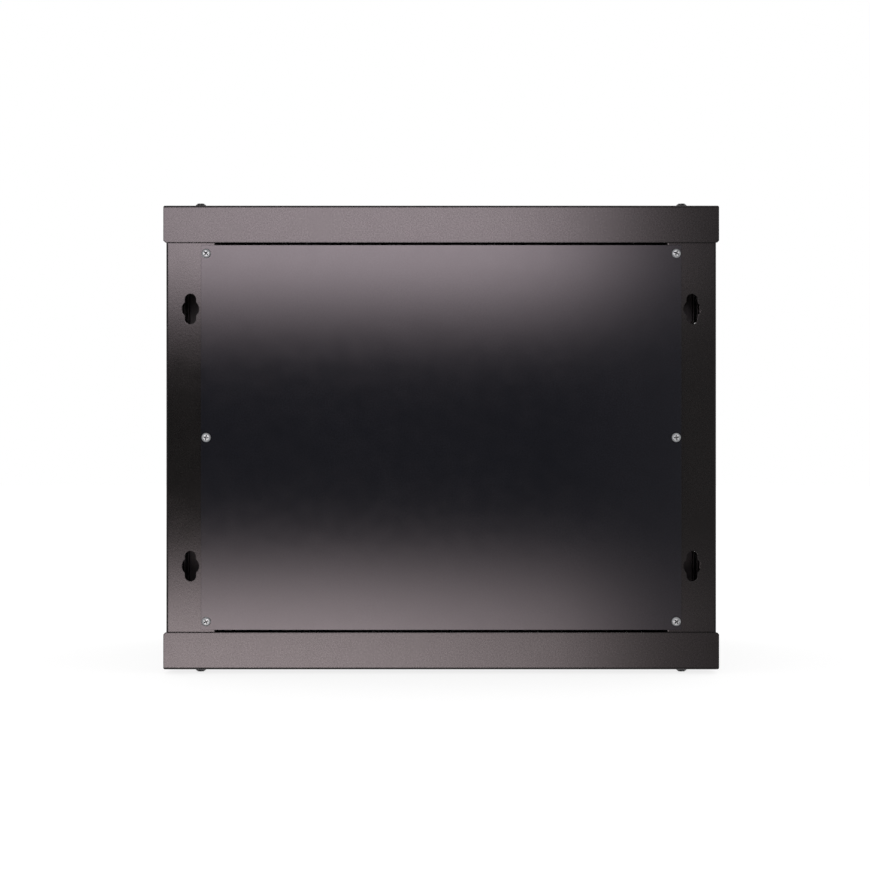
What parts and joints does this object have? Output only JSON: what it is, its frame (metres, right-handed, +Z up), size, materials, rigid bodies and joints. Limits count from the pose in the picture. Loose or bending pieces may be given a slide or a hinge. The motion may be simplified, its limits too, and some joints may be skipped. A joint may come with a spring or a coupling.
{
  "type": "wall mount network cabinet",
  "caption": "Black sheet-steel wall cabinet for 19-inch network gear, with a glass front door, lift-off side panels and keyholes in its back for wall screws.",
  "frame": {"origin": "middle of the four wall keyholes, on the wall plane, which is the rear face of the covers' flanges", "axes": "+Z up, +Y out of the back towards the wall, the glass door faces -Y, +X to the right as seen from in front of the door"},
  "size_m": [0.6, 0.453, 0.5098],
  "materials": {
    "powder_coat": "black semi-gloss powder coat with a fine texture",
    "black_zinc": "black zinc plate",
    "bright_zinc": "bright zinc plate",
    "lock_chrome": "polished nickel",
    "door_glass": "grey-tinted toughened glass",
    "rubber": "matt black rubber"
  },
  "bodies": {
    "cabinet": {"top_cover": "powder_coat", "bottom_cover": "powder_coat", "top_cover_bolts": "black_zinc", "bottom_cover_bolts": "black_zinc", "cable_entry_plate": "powder_coat", "cable_entry_screws": "black_zinc", "cable_entry_edging": "rubber", "left_side_frame": "powder_coat", "right_side_frame": "powder_coat", "rear_panel": "powder_coat", "rear_panel_screws": "bright_zinc", "rear_left_rail": "powder_coat", "rear_right_rail": "powder_coat", "front_left_rail": "powder_coat", "front_right_rail": "powder_coat", "rail_bolts": "bright_zinc", "upper_left_depth_bracket": "powder_coat", "upper_right_depth_bracket": "powder_coat", "lower_left_depth_bracket": "powder_coat", "lower_right_depth_bracket": "powder_coat", "upper_hinge_bracket": "powder_coat", "lower_hinge_bracket": "powder_coat", "door_buffers": "rubber", "earth_stud": "bright_zinc", "earth_nut": "bright_zinc"},
    "front_door": {"door_frame": "powder_coat", "door_glass": "door_glass", "glazing_tape": "rubber", "glass_clips": "bright_zinc", "door_lock_barrel": "lock_chrome", "door_lock_nut": "bright_zinc", "upper_pin_guide": "powder_coat", "lower_pin_guide": "powder_coat", "upper_pin_spring": "bright_zinc", "lower_pin_spring": "bright_zinc"},
    "door_lock": {"door_lock_plug": "lock_chrome", "door_lock_cam": "bright_zinc", "door_lock_cam_screw": "bright_zinc"},
    "upper_pin": {"upper_hinge_pin": "bright_zinc"},
    "lower_pin": {"lower_hinge_pin": "bright_zinc"},
    "left_panel": {"left_side_panel": "powder_coat", "left_panel_hooks": "powder_coat", "left_panel_lock_barrel": "lock_chrome", "left_panel_lock_nut": "bright_zinc"},
    "left_panel_lock": {"left_panel_lock_plug": "lock_chrome", "left_panel_lock_cam": "bright_zinc", "left_panel_lock_cam_screw": "bright_zinc"},
    "right_panel": {"right_side_panel": "powder_coat", "right_panel_hooks": "powder_coat", "right_panel_lock_barrel": "lock_chrome", "right_panel_lock_nut": "bright_zinc"},
    "right_panel_lock": {"right_panel_lock_plug": "lock_chrome", "right_panel_lock_cam": "bright_zinc", "right_panel_lock_cam_screw": "bright_zinc"}
  },
  "joints": [
    {"name": "front_door_hinge", "type": "hinge", "parent": "cabinet", "child": "front_door", "pos_m": [-0.289, -0.441, 0], "axis": [0, 0, -1], "range_deg": [0, 180]},
    {"name": "door_lock_turn", "type": "hinge", "parent": "front_door", "child": "door_lock", "pos_m": [0.264, -0.44, 0], "axis": [0, 1, 0], "range_deg": [0, 90]},
    {"name": "upper_pin_slide", "type": "slide", "parent": "front_door", "child": "upper_pin", "axis": [0, 0, -1], "range_m": [0, 0.0085], "stiffness_N_per_m": 400, "springref_m": -0.01, "deforming": ["upper_pin_spring"]},
    {"name": "lower_pin_slide", "type": "slide", "parent": "front_door", "child": "lower_pin", "axis": [0, 0, 1], "range_m": [0, 0.0085], "stiffness_N_per_m": 400, "springref_m": -0.01, "deforming": ["lower_pin_spring"]},
    {"name": "left_panel_lift_off", "type": "slide", "parent": "cabinet", "child": "left_panel", "axis": [-1, 0, 0], "range_m": [0, 0.2]},
    {"name": "left_panel_lock_turn", "type": "hinge", "parent": "left_panel", "child": "left_panel_lock", "pos_m": [-0.29, -0.2225, 0.176], "axis": [1, 0, 0], "range_deg": [0, 90]},
    {"name": "right_panel_lift_off", "type": "slide", "parent": "cabinet", "child": "right_panel", "axis": [1, 0, 0], "range_m": [0, 0.2]},
    {"name": "right_panel_lock_turn", "type": "hinge", "parent": "right_panel", "child": "right_panel_lock", "pos_m": [0.29, -0.2225, 0.176], "axis": [1, 0, 0], "range_deg": [0, 90]}
  ]
}
